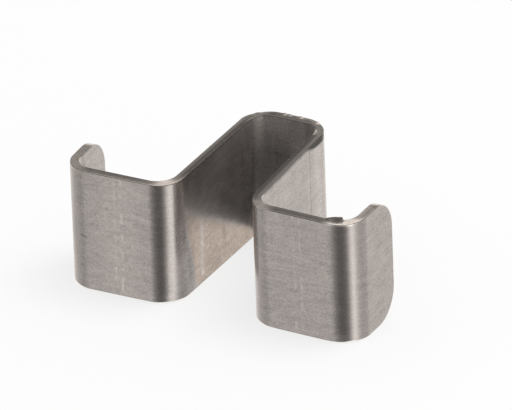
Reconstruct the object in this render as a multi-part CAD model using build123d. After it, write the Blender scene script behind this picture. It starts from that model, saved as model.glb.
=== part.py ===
from build123d import *
from math import pi, sin
import os

# Probe clamp: one strip of stainless sheet, folded six times across its width.
# Seen from above, left to right: a lip, a panel, a leg to the back, a web, a leg to the front,
# a panel and a lip. The probe lies in the channel between the legs, which is open to the front.
# Millimetres. X runs along the panels, Y from the open front to the web, Z across the strip.

# The sheared strip
sheet_thickness = 1.27
strip_width = 18.0
lip_corner_radius = 4.55
sheared_edge_roll = 0.15

# The flats, each from one fold's tangent line to the next
lip_flat = 7.3
panel_flat = 9.2
leg_flat = 18.5
web_flat = 4.45

# The folds: the angle that the strip turns at each, a few degrees off square as the brake left it
inner_bend_radius = 2.65
left_lip_angle = 87.5
left_leg_angle = 89.0
left_web_angle = 89.5
right_web_angle = 87.5
right_leg_angle = 85.5
right_lip_angle = 92.0

# What folding does to the strip's edges: the inside swells, the outside draws in
fold_swell = 0.05
fold_draw_in = 0.12

# The burr that the brake nipped up inside the right lip's fold, on the upper edge
burr_height = 0.55
burr_thickness = 0.35
burr_lead = 0.9
burr_angle = 37.0

# Shearing rolled the edge of one face over and left the edge of the other sharp.
# The rolled face is on the right of the middle line, which runs from the left lip to the right.
half = sheet_thickness / 2


def cut_plane(edge, fraction):
    """The plane square across the sheet at a fraction of an edge of its middle line.

    Its X points out of the rolled face and its Y up.
    """
    heading = edge % fraction
    return Plane(origin=edge @ fraction, x_dir=(heading.Y, -heading.X, 0), z_dir=-heading)


def stretch(edge, overlap=0.0):
    """The sheet laid along one edge of its middle line, taller than the strip by an overlap."""
    with BuildPart() as sheet:
        with BuildSketch(Plane.XY.offset(-overlap)):
            trace(edge, sheet_thickness)
        extrude(amount=strip_width + 2 * overlap)
    return sheet.part


def roll_over(sheet, edge):
    """Round the rolled face's upper and lower edges."""
    centre = cut_plane(edge, 0.5)
    face_middle = centre.origin + centre.x_dir * half + Vector(0, 0, strip_width / 2)
    rolled_face = sheet.faces().sort_by_distance(face_middle)[0]
    rolled = rolled_face.edges().filter_by(Axis.Z, reverse=True)
    return sheet.fillet(sheared_edge_roll, rolled)


def flat(edge):
    """A straight stretch of the strip."""
    return roll_over(stretch(edge), edge)


def edge_shear(edge, turn):
    """What is cut off above a fold: its underside is the strip's edge there.

    The edge swells on the inside of the bend and draws in on the outside, most at mid-bend.
    """
    # the rolled face is outside a turn to the left and inside a turn to the right
    outward = 1 if turn > 0 else -1
    top = strip_width + sheet_thickness
    sections = []
    for fraction in (0, 0.25, 0.5, 0.75, 1):
        share = sin(pi * fraction) ** 2
        middle = strip_width + (fold_swell - fold_draw_in) / 2 * share
        # twice as wide as the sheet, so the edge's slope runs on past both faces
        fall = (fold_swell + fold_draw_in) * share * outward
        with BuildSketch(cut_plane(edge, fraction)) as section:
            with BuildLine():
                Polyline(
                    (-sheet_thickness, middle + fall),
                    (sheet_thickness, middle - fall),
                    (sheet_thickness, top),
                    (-sheet_thickness, top),
                    close=True,
                )
            make_face()
        sections.append(section.sketch)
    return sweep(sections, path=edge, multisection=True)


def fold(edge, turn):
    """A bent stretch of the strip, with its edges as folding deforms them."""
    upper = edge_shear(edge, turn)
    lower = mirror(upper, Plane.XY.offset(strip_width / 2))
    return roll_over(stretch(edge, sheet_thickness / 2) - upper - lower, edge)


def lip(root, outward):
    """A lip from its fold's tangent line out to a free end with a full radius at both corners."""
    root_middle = root.origin + root.x_dir * half + Vector(0, 0, strip_width / 2)
    with BuildPart() as free_end:
        with BuildSketch(Plane(root_middle, x_dir=outward, z_dir=root.x_dir)) as outline:
            Rectangle(lip_flat, strip_width, align=(Align.MIN, Align.CENTER))
            fillet(outline.vertices().group_by(Axis.X)[-1], lip_corner_radius)
        extrude(amount=-sheet_thickness)
        rolled_face = free_end.faces().sort_by(Axis(root_middle, root.x_dir))[-1]
        rolled = rolled_face.edges().sort_by_distance(root_middle)[1:]
        fillet(rolled, sheared_edge_roll)
    return free_end.part


def burr(fold_edge):
    """A thin ridge on the inside of a fold: it rises gently from the flat and ends bluntly."""
    start = fold_edge @ 0 - (fold_edge % 0) * burr_lead
    lead = Line(start, fold_edge @ 0)
    ridge = Wire([lead, JernArc(fold_edge @ 0, fold_edge % 0, fold_edge.radius, burr_angle)])
    inside = -half + sheared_edge_roll / 4
    foot = strip_width - burr_height
    sections = []
    for fraction, share in ((0, 0.05), (0.25, 0.4), (0.5, 0.9), (0.7, 1), (0.9, 0.8), (1, 0.4)):
        crest = strip_width + burr_height * share
        with BuildSketch(cut_plane(ridge, fraction)) as section:
            with BuildLine():
                Polyline(
                    (inside, foot),
                    (inside + burr_thickness, foot),
                    (inside + burr_thickness * 0.7, crest),
                    (inside, crest),
                    close=True,
                )
            make_face()
        sections.append(section.sketch)
    return sweep(sections, path=ridge, multisection=True)


def clamp_strip():
    """The lips, folds and flats in their order along the strip, as one solid."""
    turns = [left_lip_angle, left_leg_angle, -left_web_angle]
    turns += [-right_web_angle, right_leg_angle, right_lip_angle]
    flats = [panel_flat, leg_flat, web_flat, leg_flat, panel_flat, lip_flat]
    bend_radius = inner_bend_radius + half
    # the first heading lays the left panel along X
    first_heading = Vector(1, 0, 0).rotate(Axis.Z, -left_lip_angle)
    run = PolarLine((0, 0), lip_flat, direction=first_heading)
    pieces = [lip(cut_plane(run, 1), -(run % 1))]
    for turn, length in zip(turns, flats):
        bend = JernArc(run @ 1, run % 1, bend_radius, turn)
        run = PolarLine(bend @ 1, length, direction=bend % 1)
        pieces.append(fold(bend, turn))
        if len(pieces) < 2 * len(flats):
            pieces.append(flat(run))
    pieces.append(lip(cut_plane(run, 0), run % 0))
    pieces.append(burr(bend))
    strip = pieces[0].fuse(*pieces[1:])
    box = strip.bounding_box()
    return Pos(-box.center().X, -box.center().Y, -box.min.Z) * strip


os.makedirs("parts", exist_ok=True)
export_step(clamp_strip(), "parts/clamp_strip.step")
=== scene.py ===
# %% [markdown]
# # A folded stainless probe clamp
#
# The real part is one strip of 18-gauge stainless sheet, 18 mm wide, folded six times in a press brake.
# A probe lies in the deep channel in its middle, and the two outer lips hook over an edge.
# The engineering model already holds its sizes, so this lesson loads it as a frame and never moves it.
# What is left to do is the look: the mill finish, the sheared edges and the marks that folding leaves.

# %% Load the frame
import math
import bpy
import numpy as np
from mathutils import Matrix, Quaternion, Vector

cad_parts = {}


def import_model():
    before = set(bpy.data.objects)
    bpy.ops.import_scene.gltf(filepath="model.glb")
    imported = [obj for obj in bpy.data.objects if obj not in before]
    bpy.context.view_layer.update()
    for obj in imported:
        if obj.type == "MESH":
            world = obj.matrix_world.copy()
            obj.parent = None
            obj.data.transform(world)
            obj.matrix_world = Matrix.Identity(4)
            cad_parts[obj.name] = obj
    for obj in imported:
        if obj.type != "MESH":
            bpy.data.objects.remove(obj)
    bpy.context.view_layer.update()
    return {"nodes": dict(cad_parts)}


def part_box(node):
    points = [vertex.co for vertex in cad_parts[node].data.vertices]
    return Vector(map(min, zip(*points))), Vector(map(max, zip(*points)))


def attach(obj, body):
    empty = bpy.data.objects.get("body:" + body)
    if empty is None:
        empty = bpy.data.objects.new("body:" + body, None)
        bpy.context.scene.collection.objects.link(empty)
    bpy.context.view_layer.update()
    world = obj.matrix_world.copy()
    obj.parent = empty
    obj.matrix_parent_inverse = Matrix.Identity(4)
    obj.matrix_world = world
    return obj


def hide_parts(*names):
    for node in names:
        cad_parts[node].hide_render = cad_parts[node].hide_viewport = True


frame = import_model()
print("the frame's nodes:", sorted(frame["nodes"]))

# %% [markdown]
# ## The strip's sizes
#
# The skin that replaces the plain solid has to lie exactly where the solid lies.
# It could copy the solid's mesh, but those are loose triangles with no sense of the strip's length.
# Here the strip is worked out again from the same few sizes, because then every point knows how far
# along the sheet and how far across it lies, and grain, scratches and edge zones can follow the metal.

# %% Sizes in millimetres
MM = 0.001
sheet_thickness = 1.27
strip_width = 18.0
lip_corner_radius = 4.55
sheared_edge_roll = 0.15
lip_flat = 7.3
panel_flat = 9.2
leg_flat = 18.5
web_flat = 4.45
inner_bend_radius = 2.65
fold_angles = np.radians([87.5, 89.0, -89.5, -87.5, 85.5, 92.0])
fold_swell = 0.05
fold_draw_in = 0.12
half = sheet_thickness / 2
print("sheet", sheet_thickness, "mm thick, strip", strip_width, "mm wide,", len(fold_angles), "folds")

# %% [markdown]
# ## The middle line of the sheet
#
# Seen from above, the middle of the sheet's thickness is a line of straight stretches and arcs.
# It could be a curve object with a bevel. A formula is exact and gives any point at once:
# each stretch has one curvature, and the chord of an arc is its length times sin(half its turn)
# over half its turn, laid at the heading half way. On a flat the turn is zero and the same formula holds.

# %% The middle line
flats = np.array([lip_flat, panel_flat, leg_flat, web_flat, leg_flat, panel_flat, lip_flat])
stretch_length = np.zeros(2 * len(flats) - 1)
stretch_turn = np.zeros_like(stretch_length)
stretch_length[0::2] = flats
stretch_length[1::2] = np.abs(fold_angles) * (inner_bend_radius + half)
stretch_turn[1::2] = fold_angles
strip_length = float(stretch_length.sum())


def before(values):
    """The running total up to the start of each stretch."""
    return np.cumsum(values) - values


def chord(length, turn):
    """The straight distance between the ends of an arc: length * sin(turn / 2) / (turn / 2)."""
    return length * np.sinc(turn / 2 / np.pi)


stretch_start = before(stretch_length)
# the first heading lays the left panel along X
stretch_heading = before(stretch_turn) - fold_angles[0]
stretch_chord = chord(stretch_length, stretch_turn)
chord_heading = stretch_heading + stretch_turn / 2
stretch_x = before(stretch_chord * np.cos(chord_heading))
stretch_y = before(stretch_chord * np.sin(chord_heading))


def stretch_of(along):
    """The stretch that each point lies in, and the share of it that lies behind the point."""
    index = np.searchsorted(stretch_start, along, side="right") - 1
    index = np.clip(index, 0, len(stretch_start) - 1)
    return index, (along - stretch_start[index]) / stretch_length[index]


def middle_line(along):
    """x, y and heading of the middle line at a distance along it."""
    index, share = stretch_of(along)
    turned = stretch_turn[index] * share
    reach = chord(stretch_length[index] * share, turned)
    heading = stretch_heading[index] + turned / 2
    x = stretch_x[index] + reach * np.cos(heading)
    y = stretch_y[index] + reach * np.sin(heading)
    return x, y, stretch_heading[index] + turned


print(f"the strip was {strip_length:.2f} mm long before it was folded")

# %% [markdown]
# ## What folding does to the edges
#
# In a fold the metal on the inside is squeezed and swells out at the strip's edges,
# and the metal on the outside is stretched and draws in. The edge's surface tips by a few degrees,
# which is why it catches the light only at the folds. Inside the right lip's fold the brake also nipped
# up a thin burr, and a few small nicks stand up where the shear tore the metal at the web.
# All are written as a shift of the edge, so they cost no extra pieces.

# %% Sizes of the burr and the nicks
burr_height = 0.52
burr_thickness = 0.35
burr_lead = 0.9
burr_turn = math.radians(37)
# the height of its crest at places along it, as shares of the whole
burr_places = [0, 0.1, 0.25, 0.4, 0.55, 0.75, 0.9, 0.97, 1]
burr_crest = [0, 0.25, 0.62, 0.85, 1, 1, 0.95, 0.8, 0]
# its thickness at the top, the width of its slope, how deep its root lies and how soon it rises from there
burr_top = 0.6 * burr_thickness
burr_slope = 0.3 * burr_thickness
burr_root = 0.3
burr_rise = 0.2
# how far in from the edges the swelling fades out
edge_reach = 3.0
# where nicks stand up from the torn side of the edge, how high and how wide
nick_places = np.array([51.2, 52.0, 53.7, 56.3, 47.6])
nick_heights = np.array([0.12, 0.09, 0.1, 0.12, 0.08])
nick_width = 0.26
print("burr", burr_height, "mm high,", len(nick_places), "nicks")

# %% The folded sheet
def smooth(share):
    """0 below 0, 1 above 1 and 3 s^2 - 2 s^3 between."""
    share = np.clip(share, 0, 1)
    return share * share * (3 - 2 * share)


def fold_work(along, depth):
    """How hard folding worked the metal: sin^2 through each fold, and its side: 1 inside, -1 outside."""
    index, share = stretch_of(along)
    turn = stretch_turn[index]
    bulge = np.where(turn == 0, 0, np.sin(np.pi * share) ** 2)
    return bulge, -np.sign(turn) * depth / half


def edge_shift(along, depth):
    """How far the strip's edges move outwards: most at mid-fold, out on the inside and in on the outside."""
    bulge, inside = fold_work(along, depth)
    return bulge * ((fold_swell - fold_draw_in) + (fold_swell + fold_draw_in) * inside) / 2


def nick_rise(along, depth):
    """The nicks' height: the sum of h exp(-((along - place) / width)^2), less towards the rolled face."""
    apart = (np.asarray(along)[..., None] - nick_places) / nick_width
    return (nick_heights * np.exp(-apart * apart)).sum(-1) * smooth(-depth / half)


def burr_share(along, depth):
    """The share of the burr's height: a gentle rise, a blunt end and a thin wall at the inner face."""
    foot = stretch_start[-2] - burr_lead
    length = burr_lead + burr_turn * (inner_bend_radius + half)
    crest = np.interp((along - foot) / length, burr_places, burr_crest)
    wall = 1 - smooth((depth + half - burr_top) / burr_slope)
    return crest * wall


def folded(along, across, depth):
    """Carries points of the flat blank round the folds.

    x, y = the middle line, plus the depth times its right-hand normal; z = the distance across,
    shifted near the edges. Depth is positive towards the face whose edges shearing rolled over.
    """
    x, y, heading = middle_line(along)
    near_edge = smooth((np.abs(across) - strip_width / 2 + edge_reach) / edge_reach)
    near_top = smooth((across - strip_width / 2 + burr_root) / burr_rise)
    z = across + np.sign(across) * near_edge * edge_shift(along, depth)
    z = z + near_top * (burr_height * burr_share(along, depth) + nick_rise(along, depth))
    return np.stack([x + depth * np.sin(heading), y - depth * np.cos(heading), z], axis=-1)


print("edges at a fold:", fold_swell, "mm out inside it,", fold_draw_in, "mm in outside it")

# %% [markdown]
# ## A grid over the blank
#
# The flat blank is a rectangle whose four corners are rounded with a full radius.
# A plain rectangular grid can cover it: its columns stand closer together towards the two ends,
# by the cosine of the corner's angle, and each column is only as tall as the outline there.
# The outline can be moved inwards by an inset, which gives each ring of the sheared edge its place.

# %% The blank's outline and grid
column_step = 0.2
fold_column_step = 0.1
corner_columns = 22
row_count = 25


def column_places():
    """Places of the columns between the two rounded ends, closer together in the folds."""
    starts = np.append(stretch_start, strip_length)
    starts[0] = lip_corner_radius
    starts[-1] = strip_length - lip_corner_radius
    steps = np.where(stretch_turn == 0, column_step, fold_column_step)
    counts = np.ceil(np.diff(starts) / steps).astype(int)
    runs = zip(starts[:-1], starts[1:], counts)
    spans = [np.linspace(first, last, count, endpoint=False) for first, last, count in runs]
    return np.concatenate(spans)


middle_columns = column_places()
corner_angle = np.linspace(0, np.pi / 2, corner_columns, endpoint=False)
# rows stand closer together towards both edges
row_share = np.sin(np.linspace(-1, 1, row_count) * np.pi / 2)


def blank_grid(inset):
    """Along and across at each grid point of the blank whose outline is moved inwards by the inset.

    On a rounded corner: along = inset + R (1 - cos a), half width = W / 2 - r + R sin a, R = r - inset.
    """
    radius = lip_corner_radius - inset
    end = inset + radius * (1 - np.cos(corner_angle))
    end_height = strip_width / 2 - lip_corner_radius + radius * np.sin(corner_angle)
    # the column where the far corner starts closes the middle run
    along = np.concatenate([end, middle_columns, strip_length - np.append(end, lip_corner_radius)[::-1]])
    height = np.full(len(along), strip_width / 2 - inset)
    height[:corner_columns] = end_height
    height[-corner_columns:] = end_height[::-1]
    across = height[:, None] * row_share[None, :]
    return np.broadcast_to(along[:, None], across.shape), across


columns, rows = blank_grid(0)[0].shape
grid_index = np.arange(columns * rows).reshape(columns, rows)
# once round the outline: out along the lower edge, up, back along the upper edge and down
rim = np.concatenate([grid_index[:, 0], grid_index[-1, 1:], grid_index[-2::-1, -1], grid_index[0, -2:0:-1]])
print("blank grid:", columns, "columns,", rows, "rows,", len(rim), "points round the rim")

# %% [markdown]
# ## The closed skin
#
# A sheared edge is not square. The punch rolls one face's edge over, cuts a smooth burnished band,
# and then the rest of the thickness tears away and leaves the other face's edge sharp.
# Bevel modifiers could round the edges of a box, but they would round them all alike.
# Here rings of points run round the rim, from the sharp face to the rolled one, each with its own inset
# and depth, and join the grids of the two faces into one closed mesh whose faces point outwards.

# %% Rings of the sheared edge
sharp_bevel = 0.03
wall_rings = 9
roll_rings = 6
roll_angle = np.linspace(0, np.pi / 2, roll_rings)[1:]
# the cut wall's first ring lies under the bevel, and its second where the burr's level top ends
wall_depth = np.linspace(-half + burr_top, half - sheared_edge_roll, wall_rings)
wall_depth = np.append(-half + sharp_bevel, wall_depth)
# inset and depth: the sharp corner's bevel, the cut wall, then a quarter circle onto the rolled face
ring_inset = np.concatenate([[sharp_bevel], 0 * wall_depth, sheared_edge_roll * (1 - np.cos(roll_angle))])
ring_depth = np.concatenate([[-half], wall_depth, half - sheared_edge_roll * (1 - np.sin(roll_angle))])


def flat_points(inset, depth):
    """The grid of the blank at an inset and a depth, as along, across and depth."""
    along, across = blank_grid(inset)
    return np.stack([along, across, np.full(along.shape, depth)], axis=-1)


sharp_face = flat_points(sharp_bevel, -half)
rolled_face = flat_points(sheared_edge_roll, half)
ring_grids = [flat_points(inset, depth) for inset, depth in zip(ring_inset, ring_depth)]
rings = [ring_grid.reshape(-1, 3)[rim] for ring_grid in ring_grids]
inner_rings = np.array(rings[1:-1])
blank_points = np.concatenate([part.reshape(-1, 3) for part in (sharp_face, rolled_face, inner_rings)])
print("sheared edge:", len(rings), "rings of", len(rim), "points")

# %% Faces with their place on the blank
face_points = columns * rows
sharp_index = grid_index
rolled_index = grid_index + face_points
inner_index = 2 * face_points + np.arange(inner_rings[..., 0].size).reshape(inner_rings.shape[:2])
ring_index = np.concatenate([sharp_index.ravel()[rim][None], inner_index, rolled_index.ravel()[rim][None]])


def cells(index):
    """The four corners of each cell of an index grid, counterclockwise."""
    corners = [index[:-1, :-1], index[1:, :-1], index[1:, 1:], index[:-1, 1:]]
    return np.stack(corners, axis=-1).reshape(-1, 4)


def patch(index, blank):
    """Faces over a grid of point numbers, and where each corner of each face lies on the blank."""
    cell = cells(np.arange(index.size).reshape(index.shape))
    return index.ravel()[cell], blank.reshape(-1, 3)[cell]


# the rings close on themselves: the first column comes again at the end
closed_index = np.concatenate([ring_index, ring_index[:, :1]], axis=1)
closed_rings = np.concatenate([np.array(rings), np.array(rings)[:, :1]], axis=1)
patches = [
    patch(sharp_index.T, sharp_face.transpose(1, 0, 2)),
    patch(rolled_index, rolled_face),
    patch(closed_index.T, closed_rings.transpose(1, 0, 2)),
]
faces = np.concatenate([numbers for numbers, places in patches])
corner_blank = np.concatenate([places for numbers, places in patches]).reshape(-1, 3)
on_rim = np.repeat([0.0, 0.0, 1.0], [4 * len(numbers) for numbers, places in patches])
print("skin:", len(blank_points), "points,", len(faces), "faces")

# %% The skin as a mesh
points = folded(*blank_points.T)
cad_low, cad_high = (np.array(corner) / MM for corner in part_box("clamp_strip"))
# centred on the solid from above, and standing on the same plane
offset = (cad_low + cad_high) / 2 - (points.max(0) + points.min(0)) / 2
offset[2] = cad_low[2] - points[:, 2].min()
points = (points + offset) * MM


def numpy_mesh(name, vertices, polygons):
    """A smooth-shaded object from an array of points and a list of polygons of point numbers."""
    mesh = bpy.data.meshes.new(name)
    mesh.from_pydata(vertices.tolist(), [], polygons)
    mesh.polygons.foreach_set("use_smooth", np.ones(len(polygons), bool))
    mesh.update()
    made = bpy.data.objects.new(name, mesh)
    bpy.context.scene.collection.objects.link(made)
    return made


def put_on_corners(mesh, name, kind, field, values):
    """Writes an array as an attribute of the mesh's face corners."""
    layer = mesh.attributes.new(name, kind, "CORNER")
    layer.data.foreach_set(field, np.ascontiguousarray(values, np.float32).ravel())


skin = numpy_mesh("clamp_skin", points, faces.tolist())
put_on_corners(skin.data, "blank", "FLOAT_VECTOR", "vector", corner_blank)
put_on_corners(skin.data, "rim", "FLOAT", "value", on_rim)
corner_along, corner_across, corner_depth = corner_blank.T
bulge, inside = fold_work(corner_along, corner_depth)
put_on_corners(skin.data, "squeeze", "FLOAT", "value", bulge * inside)
nipped = burr_share(corner_along, corner_depth) * (corner_across > strip_width / 2 - burr_root)
put_on_corners(skin.data, "burr", "FLOAT", "value", nipped)
print("face corners that know their place on the blank:", len(corner_blank))

# %% Creases, and the skin in place of the solid
# the two rings of the sharp corner's bevel and the two of the burr's slope are creases in the shading
edge_ends = np.zeros(2 * len(skin.data.edges), np.int32)
skin.data.edges.foreach_get("vertices", edge_ends)
crease = np.zeros(len(skin.data.edges), bool)
for ring in ring_index[:4]:
    on_ring = np.zeros(len(points), bool)
    on_ring[ring] = True
    crease |= on_ring[edge_ends.reshape(-1, 2)].all(1)
skin.data.attributes.new("sharp_edge", "BOOLEAN", "EDGE").data.foreach_set("value", crease)

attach(skin, "root")
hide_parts("clamp_strip")
print("inside the solid's box by, in mm:", points.min(0) / MM - cad_low, cad_high - points.max(0) / MM)

# %% [markdown]
# ## A short way to write shader maths
#
# A node tree can be built by hand, node by node and link by link, but then nobody can read the sum it does.
# Python lets a class say what + and * mean. One small class wraps a socket, so that an expression adds its
# Math nodes by itself, and one method makes every other node: its type, its settings, its inputs.

# %% A wrapped socket
def set_stops(ramp, stops):
    """Gives a colour ramp its stops, each a position and a grey level or a colour."""
    while len(ramp.elements) < len(stops):
        ramp.elements.new(1.0)
    for element, (position, level) in zip(ramp.elements, stops):
        element.position = position
        colour = (level,) * 3 if isinstance(level, (int, float)) else level
        element.color = (*colour, 1.0)


class Wire:
    """One output socket of a node tree, or the bare tree. Arithmetic on it adds Math nodes."""

    def __init__(self, tree, socket=None):
        self.tree = tree
        self.socket = socket

    def node(self, kind, settings=None, inputs=None, output=0):
        """Adds a node: its settings are set first, then the values or links of its sockets."""
        made = self.tree.nodes.new(kind)
        for name, value in (settings or {}).items():
            if name == "stops":
                set_stops(made.color_ramp, value)
            else:
                setattr(made, name, value)
        pairs = inputs.items() if isinstance(inputs, dict) else enumerate(inputs or ())
        for key, value in pairs:
            if isinstance(value, Wire):
                self.tree.links.new(value.socket, made.inputs[key])
            else:
                made.inputs[key].default_value = value
        return Wire(self.tree, made.outputs[output]) if made.outputs else Wire(self.tree)

    def maths(self, operation, *others):
        """A Math node with this wire as its first term."""
        return self.node("ShaderNodeMath", {"operation": operation}, (self, *others))

    def __add__(self, other):
        return self.maths("ADD", other)

    def __sub__(self, other):
        return self.maths("SUBTRACT", other)

    def __rsub__(self, other):
        return self.node("ShaderNodeMath", {"operation": "SUBTRACT"}, (other, self))

    def __mul__(self, other):
        return self.maths("MULTIPLY", other)

    def __truediv__(self, other):
        return self.maths("DIVIDE", other)

    __radd__ = __add__
    __rmul__ = __mul__


print("a wrapped socket adds a Math node for each +, -, * or / on it")

# %% Helpers for materials, masks and colours
def new_material(name):
    """An empty material and a wire into its tree."""
    material = bpy.data.materials.new(name)
    material.use_nodes = True
    material.node_tree.nodes.clear()
    return material, Wire(material.node_tree)


def attribute(wire, name, output):
    """What the mesh stores under a name, read as a number (Fac) or a vector (Vector)."""
    return wire.node("ShaderNodeAttribute", {"attribute_name": name}, output=output)


def scaled(vector, *factors):
    """A vector with each of its parts multiplied."""
    return vector.node("ShaderNodeVectorMath", {"operation": "MULTIPLY"}, (vector, factors))


def noise(vector, scale=1.0, detail=2.0, roughness=0.5):
    """Fractal noise from 0 to 1, about 0.5."""
    inputs = {"Vector": vector, "Scale": scale, "Detail": detail, "Roughness": roughness}
    return vector.node("ShaderNodeTexNoise", {}, inputs, "Fac")


def rise(value, start, end, low=0.0, high=1.0):
    """A smooth step: low up to the start, high from the end."""
    inputs = {"Value": value, "From Min": start, "From Max": end, "To Min": low, "To Max": high}
    return value.node("ShaderNodeMapRange", {"interpolation_type": "SMOOTHSTEP"}, inputs)


def blend(factor, first, second):
    """A colour between two: the first at 0, the second at 1."""
    settings = {"data_type": "RGBA", "blend_type": "MIX"}
    return factor.node("ShaderNodeMix", settings, {0: factor, 6: first, 7: second}, 2)


def outputs(wire):
    """Wires from every output of the node that a wire comes out of."""
    return [Wire(wire.tree, socket) for socket in wire.socket.node.outputs]


def grey(value):
    """A grey colour from a number."""
    return value.node("ShaderNodeCombineXYZ", {}, (value, value, value))


def mixed(factor, first, second):
    """A number between two: the first at 0, the second at 1."""
    return first + (second - first) * factor


print("a mask runs from 0 to 1: rise makes one, and mixed and blend follow one")

# %% [markdown]
# ## The mill finish
#
# The sheet left the rolling mill with a dull silver surface. Seen close, it is a fine mottle with short
# streaks along the rolling direction, slow clouds, and here and there a dark pit.
# One noise could stand for all of it, but each part has its own size and stretch, so each gets its own noise
# on the blank's millimetres, and the grain runs round the folds with the metal.

# %% Grain of the faces
# cells of noise to a millimetre along, across and through the blank, and the share that each changes the tone
mottle_cells = (4.4, 4.8, 1.0)
mottle_share = 1.25
streak_cells = (0.25, 2.2, 1.0)
streak_share = 0.4
cloud_cells = (0.6, 0.9, 1.0)
cloud_share = 0.4
pit_cells = 0.75
pit_share = 0.22
# a pit fades out between these distances from its middle, as shares of a cell, and a cell has one where its
# chance is above these levels, as in less than half of the cells
pit_fade = (0.06, 0.14)
pit_chance = (0.55, 0.6)


def mill_grain(blank):
    """The tone of the rolled faces, about 1, and the mottle that it comes from."""
    mottle = noise(scaled(blank, *mottle_cells), detail=3.0, roughness=0.75)
    streak = noise(scaled(blank, *streak_cells), detail=3.0, roughness=0.6)
    cloud = noise(scaled(blank, *cloud_cells), detail=3.0, roughness=0.6)
    tone = 1 + (mottle - 0.5) * mottle_share + (streak - 0.5) * streak_share + (cloud - 0.5) * cloud_share
    spots = blank.node("ShaderNodeTexVoronoi", {}, {"Vector": blank, "Scale": pit_cells})
    distance, chance = outputs(spots)[:2]
    pit = rise(distance, *pit_fade, 1.0, 0.0) * rise(chance, *pit_chance)
    return tone * (1 - pit * pit_share), mottle


print("the mottle is about", round(1 / mottle_cells[0], 2), "mm across")

# %% [markdown]
# ## Marks, and painted light and shade
#
# Broken pale lines run down both panels, where the sheet was pressed against something, and there are also
# a scratch and a few dark spots. A crease stands beside the fold of the right leg, drawn as a line of
# painted shade with a painted highlight beside it, and a soft painted shadow lies under the torn upper edge
# of that leg and of the left lip. Two painted glints sit at the upper border, and wider strokes are painted
# shade and a painted reflection in the channel.
# Each could be painted on an image, but an image has pixels and needs unwrapping.
# A stroke between two points of the blank is a short sum of distances, so it is sharp at any size.

# %% Strokes
# start and end as millimetres along and across the blank, width, change of tone
press_lines = [
    ((16.7, 9.3), (16.6, 4.0), 0.5, 0.13), ((16.62, 3.4), (16.5, -3.3), 0.5, 0.14),
    ((16.5, -4.4), (16.42, -7.0), 0.55, 0.24), ((17.65, 9.3), (17.6, 7.8), 0.6, 0.24),
    ((17.6, 7.0), (17.6, 5.0), 0.5, 0.1), ((17.55, 3.7), (17.6, 2.1), 0.65, 0.26),
    ((17.7, 0.7), (17.65, -0.5), 0.65, 0.3), ((17.6, -2.0), (17.65, -3.3), 0.6, 0.24),
    ((17.65, -4.4), (17.6, -5.2), 0.45, 0.18), ((17.5, -6.1), (17.35, -8.3), 0.6, 0.36),
    ((19.2, -0.6), (19.15, -1.6), 0.55, 0.24), ((19.3, 4.6), (19.3, 2.6), 0.4, 0.1),
    ((21.3, -2.0), (21.0, -5.0), 0.4, 0.12), ((86.85, 9.3), (87.2, 8.0), 0.8, 0.26),
    ((87.05, 4.2), (87.1, 1.2), 0.5, 0.12), ((87.1, 1.0), (87.15, -2.3), 0.55, 0.2),
    ((87.2, -7.1), (87.1, -8.4), 0.65, 0.26), ((87.9, 9.3), (88.0, 7.8), 0.5, 0.16),
    ((88.1, 7.0), (87.95, 3.8), 0.5, 0.18), ((88.1, 0.2), (88.15, -3.3), 0.55, 0.2),
    ((88.1, -3.9), (88.15, -5.4), 0.6, 0.24), ((88.1, -5.9), (88.1, -6.8), 0.45, 0.14),
    ((88.0, -7.2), (88.1, -8.5), 0.65, 0.26), ((30.95, 0.8), (30.7, -8.0), 1.7, 0.19),
    ((30.9, -0.4), (30.85, -4.0), 1.3, 0.18),
]
rolled_marks_and_painted_light = [
    # the end of a pale press line, then a wide band of painted shade on the left leg
    ((30.75, -6.8), (30.7, -7.9), 1.1, 0.18), ((27.0, 3.0), (27.4, -9.5), 3.2, -0.2),
    # darker bands at the ends of the first and fifth folds
    ((11.6, 9.2), (11.6, -9.2), 1.6, -0.08), ((82.6, 9.2), (82.6, -9.2), 1.2, -0.08),
    # a scratch and dark spots
    ((11.25, -0.75), (12.2, -1.1), 0.35, -0.6), ((15.3, 4.2), (15.45, 3.7), 0.4, -0.3),
    ((13.95, 4.3), (14.2, 4.2), 0.35, -0.2), ((16.85, -4.5), (16.95, -4.8), 0.4, -0.25),
    ((89.2, 6.4), (89.35, 5.9), 0.45, -0.25), ((88.8, -4.9), (89.0, -5.1), 0.4, -0.3),
    ((32.95, -3.9), (33.3, -4.3), 0.5, -0.5), ((42.7, -6.6), (42.9, -6.8), 0.4, -0.35),
    # two painted glints at the upper border
    ((92.5, 9.0), (95.4, 9.0), 0.7, 2.2), ((47.65, 9.6), (47.6, 8.3), 1.1, 2.6),
    # a painted reflection fading down the channel's fold, and painted shade along the left leg's shadow line
    ((47.5, 9.0), (48.0, -1.5), 2.4, 0.16), ((36.3, 1.6), (44.4, -5.3), 3.4, -0.22),
    # more painted shade on the left leg
    ((26.0, 1.5), (27.6, -6.5), 1.8, -0.15),
]
sharp_marks_and_painted_shade = [
    # the crease beside the right leg's fold, drawn as a line of painted shade with a painted highlight beside
    # it
    ((63.5, 9.2), (63.7, -9.2), 0.5, -0.24), ((64.1, 9.2), (64.3, -9.2), 0.4, 0.1),
    # a paler band on the right leg beside its fold at the web, and a darker patch on the left lip
    ((61.0, 9.5), (61.0, -9.5), 4.6, 0.22), ((6.6, 9.2), (6.6, 4.0), 2.0, -0.2),
    # a soft painted shadow under the torn upper edge of the right leg and of the left lip
    ((62.0, 9.0), (64.7, 9.0), 0.8, -0.2), ((62.0, 9.0), (78.0, 9.0), 1.4, -0.5),
    ((3.6, 9.0), (7.5, 9.0), 1.0, -0.4),
]
# a stroke fades from so far before its end to so far past it, in millimetres
fade_before_end = 0.3
fade_past_end = 0.1


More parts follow.
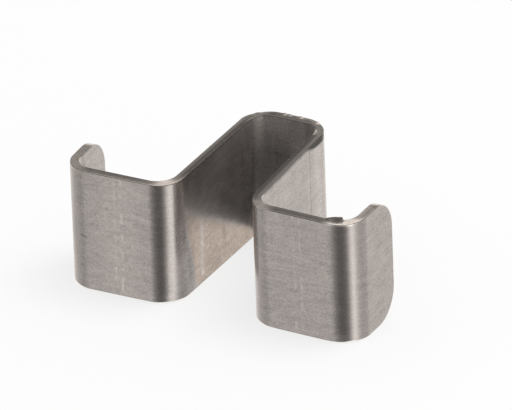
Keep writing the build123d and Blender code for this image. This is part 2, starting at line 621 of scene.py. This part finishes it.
def stroke(along, across, first, last, width):
    """1 on the straight line between two points, falling to 0 at half its width and at its ends."""
    run = np.subtract(last, first)
    length = float(np.hypot(*run))
    step_along, step_across = (float(part) for part in run / length)
    ahead = (along - first[0]) * step_along + (across - first[1]) * step_across - length / 2
    aside = (along - first[0]) * step_across - (across - first[1]) * step_along
    near = rise(aside.maths("ABSOLUTE"), 0.0, width / 2, 1.0, 0.0)
    fade = (length / 2 - fade_before_end, length / 2 + fade_past_end)
    return near * rise(ahead.maths("ABSOLUTE"), *fade, 1.0, 0.0)


def strokes(lines, along, across):
    """The sum of strokes, each times its change of tone."""
    return sum(stroke(along, across, first, last, width) * change for first, last, width, change in lines)


print(len(press_lines) + len(rolled_marks_and_painted_light) + len(sharp_marks_and_painted_shade), "strokes on the faces")

# %% [markdown]
# ## Broad patches, most of them painted light and shade
#
# Some changes have no outline: the left panel is a little paler in its middle, the right leg's outer face
# a little darker in its middle, the metal is dull in the far corner of the channel, and the film has darker
# blotches. Most of the rest is painted light and shade: painted shade in the channel's far corner and on the
# left leg, painted light from above under the channel's upper edge, and painted reflection bands in the
# folds.
# A painted shadow, a dark wedge like a gap under a lifted edge, lies below the right leg's upper edge at the
# web.
# Noise could give such patches, but not in the right place. Each is an ellipse that fades from its centre,
# and the wedge is one whose change is so large that nearly all of it is black.

# %% Patches
# centre and half axes as millimetres along and across the blank, change of tone at the centre
# the left panel's paler middle; painted reflection bands in the folds; painted shade in the channel's far
# corner and on the left leg; painted light from above under the channel's upper edge; darker blotches in the
# film
rolled_patches_of_light_shade_and_film = [
    ((17.3, 0.0), (5.0, 40.0), 0.13), ((25.8, 9.5), (1.6, 13.0), 0.5), ((25.8, -9.5), (2.4, 7.5), -0.22),
    ((27.2, -6.5), (2.0, 8.0), -0.14), ((28.4, -4.5), (1.0, 6.0), -0.14), ((23.6, -5.0), (0.7, 9.0), 0.3),
    ((26.3, 2.5), (0.7, 7.0), -0.24), ((41.5, 0.5), (6.0, 6.0), -0.12), ((42.4, 4.3), (3.2, 5.5), 0.45),
    ((39.5, 8.3), (6.5, 4.5), 0.65), ((44.6, 9.5), (1.9, 15.0), 0.8), ((45.1, 7.0), (1.4, 11.0), 0.5),
    ((44.2, -3.9), (3.0, 3.0), -0.3), ((46.9, -1.5), (2.0, 7.0), -0.28), ((48.7, 0.0), (2.6, 40.0), -0.3),
    ((46.6, 10.0), (7.5, 8.0), 1.15), ((51.5, 2.5), (2.5, 4.5), -0.3), ((57.5, 9.5), (2.4, 4.5), 0.65),
    ((35.2, -7.9), (2.8, 1.3), -0.2), ((37.1, -4.6), (1.1, 3.4), -0.22), ((33.5, -6.0), (3.0, 3.0), -0.1),
    ((28.7, 1.3), (1.6, 0.7), -0.12), ((43.6, -7.4), (1.5, 2.2), -0.14), ((10.0, -0.5), (1.2, 6.0), -0.12),
    ((80.9, 0.6), (1.2, 3.2), 0.3), ((80.7, 3.0), (1.3, 12.0), 0.25), ((93.3, 0.0), (0.8, 60.0), 0.2),
    ((94.6, 0.0), (0.7, 60.0), -0.3), ((29.5, 9.7), (5.5, 2.0), 0.4), ((28.3, 6.0), (2.2, 2.4), 0.2),
    ((26.0, 4.6), (0.9, 2.4), -0.22), ((32.0, -9.9), (6.0, 2.2), -0.3), ((23.5, -8.3), (1.1, 1.1), 0.4),
    ((93.6, -8.4), (1.2, 1.2), 0.35), ((25.6, 8.9), (0.7, 2.0), 0.45),
]
# the right leg's darker middle, and a painted shadow: the dark wedge under its upper edge at the web
sharp_patches_and_painted_shadow = [((70.0, -1.0), (8.0, 6.0), -0.17), ((60.3, 9.3), (4.58, 1.63), -6.0)]
# the back of the channel is duller: change of roughness
dull_patches = [((50.5, 0.0), (8.0, 40.0), 1.2)]


def patched(patches, along, across):
    """The product of 1 + change * ellipse over all patches."""
    product = 1.0
    for centre, axes, change in patches:
        out_along = (along - centre[0]) / axes[0]
        out_across = (across - centre[1]) / axes[1]
        out = (out_along * out_along + out_across * out_across).maths("SQRT")
        product = product * (1 + rise(out, 0.0, 1.0, change, 0.0))
    return product


print(len(rolled_patches_of_light_shade_and_film) + len(sharp_patches_and_painted_shadow) + len(dull_patches), "patches on the faces")

# %% [markdown]
# ## The film in the channel
#
# The lower part of the left leg's inner face carries a thin straw-coloured film with an uneven border.
# It could be a separate sheet of see-through mesh. It has no thickness that shows, so a mask that tints
# the metal is enough: a leaning border moved by noise, paler blotches inside it, and one pale line
# where it is scraped off.

# %% The film's mask
film_tint = (1.057, 0.94, 0.832)
film_pale_tint = (1.0, 0.965, 0.92)
film_pale_level = 1.16
# its upper left corner as millimetres along and across, and how much its two borders lean
film_corner = (26.55, 2.8)
film_left_lean = 0.232
film_top_slope = 0.56
# from where to where the film fades at these two borders, in millimetres from them
film_left_fade = (-0.1, 0.1)
film_top_fade = (-0.4, 0.9)
# cells to a millimetre of the noise that moves the left border and of the one that makes the blotches
film_wander_cells = 1.9
film_blotch_cells = (1.5, 2.0, 1.0)
film_blotch_levels = (0.5, 0.64)
# start, end and width of the line where the film is scraped off, and the share that is gone there
scraped_film = ((30.95, 0.9), (30.7, -8.0), 2.0)
scraped_share = 0.75
# the film fades out over the last half millimetre before the fold at the web
left_leg_end = float(stretch_start[5])
film_end_fade = (left_leg_end - 0.5, left_leg_end)


def on_rolled_side(depth):
    """1 on the face whose edges shearing rolled over, 0 on the other."""
    return rise(depth, 0.2, 0.4)


def film(blank, along, across, depth):
    """Two masks: where the film lies, right of a leaning line and below a falling one, and its blotches."""
    wander = noise(blank, film_wander_cells, detail=5.0, roughness=0.68) - 0.5
    border = along - film_corner[0] - (film_corner[1] - across) * film_left_lean + wander
    above = across - film_corner[1] + (along - film_corner[0]) * film_top_slope
    inside_border = rise(border, *film_left_fade) * rise(above, *film_top_fade, 1.0, 0.0)
    on_leg = rise(along, *film_end_fade, 1.0, 0.0) * on_rolled_side(depth)
    left_on = 1 - stroke(along, across, *scraped_film) * scraped_share
    blotches = noise(scaled(blank, *film_blotch_cells), detail=5.0, roughness=0.75)
    return inside_border * on_leg * left_on, rise(blotches, *film_blotch_levels)


print("the film starts", film_corner[0], "mm along the strip and ends at", round(left_leg_end, 1))

# %% [markdown]
# ## The sheared edge
#
# Towards the rolled face the cut is smooth and dark, where the punch burnished it. Towards the sharp face
# the metal tore, and is paler, rougher and a little brown. Fine lines run across the whole edge.
# How much of each shows changes along the strip. Two materials could meet on a drawn line, but the border
# between the bands is ragged. So noise moves it, and two ramps over the distance along the strip hold the
# levels of the bands, which also carry painted light: paler at the folds, where the edge tips towards the
# light, and darker inside the channel. The rolled-over part is painted paler as a highlight, and a few
# strokes are painted highlights on the edge at the web's folds and round the burr.

# %% Torn and burnished bands
# levels along the strip, with painted light in them: paler at the folds, where the edge tips towards the
# light, and darker inside the channel
torn_levels_and_painted_light = [
    (0, 1.05), (8, 1.25), (10, 1.45), (12.5, 0.58), (20, 0.6), (22.5, 0.92), (26, 1.0), (28, 0.82),
    (41, 0.84), (44, 1.02), (46, 0.96), (48, 0.72), (52, 0.68), (54, 0.93), (55.5, 1.15), (57, 1.1),
    (60, 0.95), (62, 0.86), (64, 0.8), (79, 0.78), (80.5, 1.1), (82, 1.0), (84, 0.56), (91.6, 0.62),
    (92.6, 1.0), (95, 1.0), (97, 1.35), (98.5, 1.5), (105, 1.5),
]
burnished_levels_and_painted_light = [
    (0, 1.1), (8, 1.25), (10, 1.6), (12.5, 0.76), (20, 0.78), (22.5, 0.98), (26, 0.8), (28, 0.37),
    (44, 0.38), (46, 0.72), (48, 0.45), (50, 0.4), (54, 0.46), (57.4, 0.65), (59.2, 0.75), (60.2, 0.42),
    (62, 0.34), (79.4, 0.36), (80.6, 1.35), (82, 1.35), (84, 0.44), (91.4, 0.5), (92.2, 1.2), (94.5, 0.85),
    (96, 1.2), (97.3, 1.15), (98.5, 0.95), (105, 1.25),
]
edge_tint = (1.02, 1.0, 0.97)
edge_line_cells = (7.0, 7.0, 0.9)
edge_line_share = 0.5
edge_cloud_cells = (1.3, 1.3, 1.0)
edge_cloud_share = 0.3
# depths between which the burnished band and the rolled-over part set in, and how much paler the latter is
# painted, as a painted highlight on the rounded edge
burnish_start = (-0.35, 0.2)
roll_over_start = (0.42, 0.6)
roll_over_highlight = 1.25
# start and end as millimetres along the strip and through its thickness, width, change of tone
# painted highlights on the edge at the web's folds and round the burr
edge_highlight_strokes = [
    ((46.7, -0.1), (49.3, -0.1), 0.9, 0.33), ((50.0, 0.12), (54.8, 0.12), 0.9, 0.2),
    ((55.4, 0.12), (59.9, 0.12), 0.8, 0.38), ((58.2, 0.42), (60.1, 0.42), 0.46, 1.6),
    ((92.4, 0.6), (95.5, 0.6), 0.4, 1.1), ((92.4, 0.1), (95.0, 0.1), 1.0, 0.55),
]


def level_along(along, levels):
    """A level that runs in straight lines between places along the strip."""
    stops = [(place / strip_length, level) for place, level in levels]
    return along.node("ShaderNodeValToRGB", {"stops": stops}, (along / strip_length,))


def sheared_edge(blank, along, depth):
    """The tone of the cut edge, with its painted light, and its fine lines."""
    lines = noise(scaled(blank, *edge_line_cells), detail=2.0, roughness=0.6)
    cloud = noise(scaled(blank, *edge_cloud_cells), detail=2.0)
    # the same noise moves the border between the bands and changes their tone
    ragged = (lines - 0.5) * edge_line_share + (cloud - 0.5) * edge_cloud_share
    burnish = rise(depth + ragged, *burnish_start)
    level = mixed(burnish, level_along(along, torn_levels_and_painted_light), level_along(along, burnished_levels_and_painted_light))
    # the rolled-over part gets a painted highlight, and the strokes add painted highlights
    level = level * rise(depth, *roll_over_start, 1.0, roll_over_highlight) + strokes(edge_highlight_strokes, along, depth)
    return level * (1 + ragged), lines


print(len(torn_levels_and_painted_light), "levels of the torn band,", len(burnished_levels_and_painted_light), "of the burnished one")

# %% [markdown]
# ## The whole finish
#
# Metal in a physical shader is a base colour and a roughness. The colour here is that of stainless steel,
# times the tone, which also carries painted light and shade, and the roughness follows the same mottle.
# Inside the folds the squeezed metal is duller, and outside them the die ironed much of the grain flat.
# Faces, film, edge and burr could be four materials, but then their borders would have to be mesh edges.
# One material mixes them by masks, so a border can lie anywhere and be soft.

# %% Levels of the finish
steel_colour = (0.493, 0.478, 0.475)
face_roughness = 0.25
edge_roughness = 0.22
burr_roughness = 0.6
# how much the mottle, the edge's fine lines and the metal round the burr change the roughness
mottle_roughness = 0.1
edge_line_roughness = 0.15
burr_surround_roughness = 0.12
# the burr's one flat tone, darker than the edge round it: painted shade on its wall
burr_shade_tone = 0.85
darkest_tone = 0.05
# the share of the grain that the die irons out on the outside of the folds, and the dulling inside them
fold_ironing = 0.55
fold_dulling = 0.3
# cells to a millimetre of the noise that wears the press lines, the levels of it between which they change
# from worn to whole, and the shares of their tone that show there
wear_cells = 1.6
wear_levels = (0.35, 0.62)
wear_shares = (0.3, 1.15)
# start, end and width, as millimetres along the strip and through it, of the dull metal round the burr
burr_surround = ((92.2, -0.1), (95.0, -0.1), 2.0)
print("roughness: faces", face_roughness, "edge", edge_roughness, "burr", burr_roughness)

# %% The stainless sheet
def stainless_sheet():
    """Mill grain, marks, film and painted light on the faces, torn and burnished bands and painted light on
    the edge.
    """
    material, start = new_material("stainless_sheet")
    blank = attribute(start, "blank", "Vector")
    along, across, depth = outputs(start.node("ShaderNodeSeparateXYZ", {}, (blank,)))
    on_edge, squeeze, burr = (attribute(start, name, "Fac") for name in ("rim", "squeeze", "burr"))
    on_rolled = on_rolled_side(depth)
    on_burr = rise(burr, 0.1, 0.6)
    inner = squeeze.maths("MAXIMUM", 0.0)
    outer = (squeeze * -1.0).maths("MAXIMUM", 0.0)
    grain, mottle = mill_grain(blank)
    grain = mixed(outer * fold_ironing, grain, 1.0)
    mottle = mixed(outer * fold_ironing, mottle, 0.5)

    worn = rise(noise(blank, wear_cells, detail=4.0, roughness=0.7), *wear_levels, *wear_shares)
    # the strokes and patches on the faces hold painted light and shade as well as real marks
    rolled_tone = grain + strokes(rolled_marks_and_painted_light, along, across) + strokes(press_lines, along, across) * worn
    rolled_tone = rolled_tone * patched(rolled_patches_of_light_shade_and_film, along, across)
    sharp_tone = grain + strokes(sharp_marks_and_painted_shade, along, across)
    sharp_tone = sharp_tone * patched(sharp_patches_and_painted_shadow, along, across)
    face_tone = mixed(on_rolled, sharp_tone, rolled_tone).maths("MAXIMUM", darkest_tone)
    edge_tone, lines = sheared_edge(blank, along, depth)
    # the burr takes its flat tone of painted shade
    edge_tone = mixed(on_burr, edge_tone, burr_shade_tone)

    face = scaled(grey(face_tone), *steel_colour)
    film_colour = scaled(grey(face_tone), *np.multiply(steel_colour, film_tint))
    pale_film = scaled(grey(face_tone * film_pale_level), *np.multiply(steel_colour, film_pale_tint))
    filmed, blotch = film(blank, along, across, depth)
    face = blend(filmed, face, blend(blotch, film_colour, pale_film))
    edge = scaled(grey(edge_tone), *np.multiply(steel_colour, edge_tint))
    colour = blend(on_edge, face, edge)

    dull = mixed(on_rolled, 1.0, patched(dull_patches, along, across))
    face_rough = dull * face_roughness + (mottle - 0.5) * mottle_roughness + inner * fold_dulling
    round_burr = stroke(along, depth, *burr_surround) * burr_surround_roughness
    edge_rough = edge_roughness + (lines - 0.5) * edge_line_roughness + round_burr
    edge_rough = mixed(on_burr, edge_rough, burr_roughness)
    roughness = mixed(on_edge, face_rough, edge_rough)
    inputs = {"Base Color": colour, "Metallic": 1.0, "Roughness": roughness}
    shine = start.node("ShaderNodeBsdfPrincipled", {}, inputs)
    start.node("ShaderNodeOutputMaterial", {}, {"Surface": shine})
    return material


skin.data.materials.append(stainless_sheet())
print("nodes in the finish:", len(skin.data.materials[0].node_tree.nodes))

# %% [markdown]
# ## A light tent
#
# Bare metal has almost no colour of its own: it shows what stands around it.
# A lamp alone would leave it black with one bright dot. Photographers put such parts in a tent of white
# cloth, lit from outside, with a slot for the camera. The dark slot gives the dark stripe down each bend,
# the brighter cloth beside it gives the pale stripe, and a lamp behind the cloth, opposite the camera,
# shines in the upper edges where folding tipped them.
# Panels of light could stand round the part, but one sphere whose glow follows the bearing has no gaps.

# %% Levels of the tent
tent_radius = 0.5
tent_rings = 24
tent_columns = 48
# bearing in degrees round the part, from +X towards +Y, and how bright the cloth is there
tent_levels = [
    (-180, 0.7), (-163, 0.62), (-143, 0.59), (-130, 0.68), (-118, 0.77), (-108, 0.72), (-98, 0.4),
    (-88, 0.25), (-78, 0.18), (-66, 0.165), (-56, 0.2), (-46, 0.36), (-36, 0.98), (-27, 1.38), (-17, 1.42),
    (-7, 0.96), (2, 0.7), (14, 0.64), (30, 0.65), (45, 0.71), (60, 0.87), (75, 0.96), (95, 1.08),
    (118, 1.15), (140, 1.05), (160, 0.87), (180, 0.7),
]
cloth_colour = (1.0, 0.935, 0.884)
# heights as their sines, 0 at the horizon and 1 straight up, between which each part of the tent fades
collar_fade = (0.0, 0.35)
collar_level = 0.28
collar_end = (0.5, 0.85)
roof_start = (0.55, 0.85)
roof_level = 0.55
# the lamp behind the cloth, opposite the camera, and the cosines of the angles from it where its glow
# starts and is full
lamp_bearing = math.radians(112)
lamp_height = math.radians(50)
lamp_glow_edge = (0.955, 0.985)
lamp_direction = (
    math.cos(lamp_bearing) * math.cos(lamp_height),
    math.sin(lamp_bearing) * math.cos(lamp_height),
    math.sin(lamp_height),
)
print("levels round the tent's wall:", len(tent_levels))

# %% The tent
def tent_shader():
    """Emission whose strength follows the bearing up to the collar and the height above it."""
    material, start = new_material("tent_cloth")
    place = start.node("ShaderNodeTexCoord", {}, output="Object")
    ray = start.node("ShaderNodeVectorMath", {"operation": "NORMALIZE"}, (place,))
    x, y, z = outputs(start.node("ShaderNodeSeparateXYZ", {}, (ray,)))
    bearing = y.maths("ARCTAN2", x) / (2 * math.pi) + 0.5
    stops = [(degrees / 360 + 0.5, level) for degrees, level in tent_levels]
    wall = bearing.node("ShaderNodeValToRGB", {"stops": stops}, (bearing,))
    collar = rise(z, *collar_fade, 1.0, collar_level) * rise(z, *collar_end, 1.0, 0.0)
    roof = rise(z, *roof_start, 0.0, roof_level)
    settings = {"operation": "DOT_PRODUCT"}
    toward_lamp = ray.node("ShaderNodeVectorMath", settings, (ray, lamp_direction), "Value")
    strength = wall * collar + roof + rise(toward_lamp, *lamp_glow_edge)
    glow = start.node("ShaderNodeEmission", {}, {"Color": (*cloth_colour, 1.0), "Strength": strength})
    start.node("ShaderNodeOutputMaterial", {}, {"Surface": glow})
    return material


def sphere_mesh(name, radius, rings, sides):
    """A sphere round the origin, its poles shared.

    radius * (cos(tilt) cos(bearing), cos(tilt) sin(bearing), sin(tilt))
    """
    tilt = np.linspace(-np.pi / 2, np.pi / 2, rings + 1)[1:-1, None]
    bearing = np.linspace(0, 2 * np.pi, sides, endpoint=False)[None, :]
    from_axis = np.cos(tilt)
    body = [from_axis * np.cos(bearing), from_axis * np.sin(bearing), np.sin(tilt) + 0 * bearing]
    body = np.stack(body, axis=-1)
    poles = np.array([[0, 0, -1.0], [0, 0, 1.0]])
    vertices = np.concatenate([body.reshape(-1, 3), poles]) * radius
    index = np.arange(body[..., 0].size).reshape(body.shape[:2])
    index = np.concatenate([index, index[:, :1]], axis=1)
    lower_pole = np.full((1, sides + 1), len(vertices) - 2)
    upper_pole = np.full((1, sides + 1), len(vertices) - 1)
    quads = cells(np.concatenate([lower_pole, index, upper_pole]).T)
    # a cell at a pole names the pole twice, and once the repeat is dropped it is a triangle
    polygons = [list(dict.fromkeys(quad)) for quad in quads.tolist()]
    return numpy_mesh(name, vertices, polygons)


tent = sphere_mesh("light_tent", tent_radius, tent_rings, tent_columns)
tent.data.materials.append(tent_shader())
tent.visible_camera = False
tent.visible_diffuse = False
tent.visible_shadow = False
tent.visible_transmission = False
print("tent:", len(tent.data.polygons), "faces round the part")

# %% [markdown]
# ## The floor, the lamp and the world
#
# The part stands on a plain white sheet that keeps its soft shadow. The sheet doesn't show in the metal,
# where the lower half of the tent takes its place. A white floor could be lit until it clips, but then the
# part would be lit too much as well. Here most of its white is a glow that only rays from the camera, and
# from glossy and clear surfaces, can see, and the rest is the light that falls on it, less the shadow.

# %% The floor
floor_size = 6.0
floor_colour = (0.93, 0.93, 0.93)
floor_glow = 0.74


def seen_by_camera(wire):
    """1 for rays from the camera and from glossy and clear surfaces, 0 for light that falls on things."""
    kinds = ("Is Camera Ray", "Is Glossy Ray", "Is Transmission Ray")
    camera_ray, glossy_ray, clear_ray = (wire.node("ShaderNodeLightPath", output=kind) for kind in kinds)
    return camera_ray.maths("MAXIMUM", glossy_ray).maths("MAXIMUM", clear_ray)


corner = floor_size / 2
floor_points = corner * np.array([[-1, -1, 0], [1, -1, 0], [1, 1, 0], [-1, 1, 0]])
floor = numpy_mesh("floor", floor_points, [[0, 1, 2, 3]])
floor_material, floor_start = new_material("floor_sheet")
lit_sheet = floor_start.node("ShaderNodeBsdfDiffuse", {}, {"Color": (*floor_colour, 1.0)})
white_sheet = floor_start.node("ShaderNodeEmission", {}, {"Strength": 1.0})
glow_share = seen_by_camera(floor_start) * floor_glow
floor_shader = floor_start.node("ShaderNodeMixShader", {}, (glow_share, lit_sheet, white_sheet))
floor_start.node("ShaderNodeOutputMaterial", {}, {"Surface": floor_shader})
floor.data.materials.append(floor_material)
floor.visible_glossy = False
print("floor", floor_size, "m wide, with", floor_glow, "of its white as a glow")

# %% The lamp and the world
room_light = 0.85
lamp_size = 0.6
lamp_power = 5.0
lamp_place = (0.35, 0.25, 1.0)
lamp_data = bpy.data.lights.new("softbox", "AREA")
lamp_data.shape = "SQUARE"
lamp_data.size = lamp_size
lamp_data.energy = lamp_power
lamp = bpy.data.objects.new("softbox", lamp_data)
bpy.context.scene.collection.objects.link(lamp)
lamp.location = lamp_place
lamp.rotation_euler = Vector(lamp.location).to_track_quat("Z", "Y").to_euler()
lamp.visible_camera = False
lamp.visible_glossy = False

world = bpy.data.worlds.new("studio")
bpy.context.scene.world = world
world.use_nodes = True
world.node_tree.nodes.clear()
sky = Wire(world.node_tree)
brightness = room_light + seen_by_camera(sky) * (1 - room_light)
background = sky.node("ShaderNodeBackground", {}, {"Strength": brightness})
sky.node("ShaderNodeOutputWorld", {}, {"Surface": background})
print("softbox of", lamp_power, "W, room light", room_light)

# %% [markdown]
# ## The camera
#
# The photograph was taken from far away with a long lens, which is why parallel edges stay parallel in it.
# An orthographic camera would come close, but a real lens keeps the slight narrowing towards the back.
# It looks from 28 degrees to the right of the front and 28 degrees above, and is rolled by two.

# %% The camera
camera_azimuth = math.radians(28.145)
camera_elevation = math.radians(27.552)
camera_roll = math.radians(-2.11)
camera_distance = 1.8
sensor_width = 36.0
frame_pixels = (512, 410)
focal_pixels = 13260.8
aim = Vector((0, 0, fold_swell + strip_width / 2)) * MM
aim_pixel = (251.581, 215.152)

camera_data = bpy.data.cameras.new("camera")
camera_data.sensor_width = sensor_width
camera_data.lens = focal_pixels / frame_pixels[0] * sensor_width
camera = bpy.data.objects.new("camera", camera_data)
bpy.context.scene.collection.objects.link(camera)
back = Vector((
    math.sin(camera_azimuth) * math.cos(camera_elevation),
    -math.cos(camera_azimuth) * math.cos(camera_elevation),
    math.sin(camera_elevation),
))
turn = back.to_track_quat("Z", "Y") @ Quaternion((0, 0, 1), camera_roll)
# the aim point's place in the frame, as a direction in front of the lens
aim_right = (aim_pixel[0] - frame_pixels[0] / 2) / focal_pixels
aim_up = (frame_pixels[1] / 2 - aim_pixel[1]) / focal_pixels
camera.location = aim - turn @ Vector((aim_right, aim_up, -1)) * camera_distance
camera.rotation_mode = "QUATERNION"
camera.rotation_quaternion = turn
bpy.context.scene.camera = camera
bpy.context.scene.view_settings.view_transform = "Standard"
print(f"lens {camera_data.lens:.0f} mm at {camera_distance} m")
